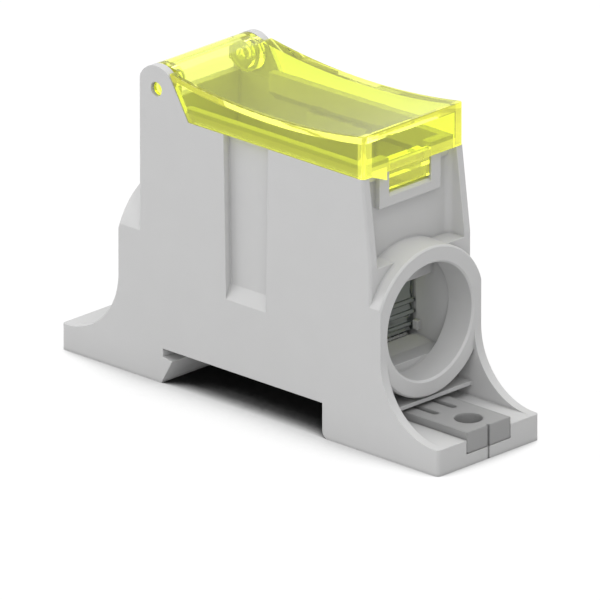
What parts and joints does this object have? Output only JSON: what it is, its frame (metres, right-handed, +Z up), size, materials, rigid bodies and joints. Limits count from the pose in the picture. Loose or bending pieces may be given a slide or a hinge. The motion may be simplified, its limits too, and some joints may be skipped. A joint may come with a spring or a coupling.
{
  "type": "power terminal block",
  "caption": "Rail-mounted power terminal block with a round cable collar at each end, screw clamps on a contact bar and a hinged see-through cover.",
  "frame": {"origin": "middle of the base, at the height of the feet's undersides", "axes": "+X along the block towards the latch and rail clip end, +Y across the block, +Z up from the rail"},
  "size_m": [0.084, 0.0234, 0.0542],
  "materials": {
    "housing_plastic": "smooth moulded",
    "cover_clear": "clear yellow moulding",
    "clip_plastic": "smooth moulded",
    "tinned_bar": "bright tinned",
    "yoke_steel": "zinc plated",
    "block_steel": "zinc plated",
    "screw_steel": "zinc plated"
  },
  "bodies": {
    "base": {"housing": "housing_plastic", "contact_bar": "tinned_bar", "clamp_yoke_front": "yoke_steel", "clamp_yoke_rear": "yoke_steel"},
    "lid": {"cover": "cover_clear"},
    "clip": {"rail_clip": "clip_plastic"},
    "block_front": {"pressure_block_front": "block_steel"},
    "screw_front": {"clamp_screw_front": "screw_steel", "screw_ring_front": "screw_steel"},
    "block_rear": {"pressure_block_rear": "block_steel"},
    "screw_rear": {"clamp_screw_rear": "screw_steel", "screw_ring_rear": "screw_steel"}
  },
  "joints": [
    {"name": "cover_hinge", "type": "hinge", "parent": "base", "child": "lid", "pos_m": [-0.0206, 0, 0.05025], "axis": [0, -1, 0], "range_deg": [0, 110]},
    {"name": "rail_clip_slide", "type": "slide", "parent": "base", "child": "clip", "axis": [1, 0, 0], "range_m": [0, 0.003], "stiffness_N_per_m": 800},
    {"name": "front_block_lift", "type": "slide", "parent": "base", "child": "block_front", "axis": [0, 0, 1], "range_m": [0, 0.009]},
    {"name": "front_screw_turn", "type": "hinge", "parent": "block_front", "child": "screw_front", "pos_m": [0.0109, 0, 0.03], "axis": [0, 0, 1], "range_deg": [0, 2159]},
    {"name": "rear_block_lift", "type": "slide", "parent": "base", "child": "block_rear", "axis": [0, 0, 1], "range_m": [0, 0.009]},
    {"name": "rear_screw_turn", "type": "hinge", "parent": "block_rear", "child": "screw_rear", "pos_m": [-0.0109, 0, 0.03], "axis": [0, 0, 1], "range_deg": [0, 2159]}
  ],
  "couplings": [
    {"joint": "front_block_lift", "follows": "front_screw_turn", "m_per_rad": 0.00023873},
    {"joint": "rear_block_lift", "follows": "rear_screw_turn", "m_per_rad": 0.00023873}
  ]
}
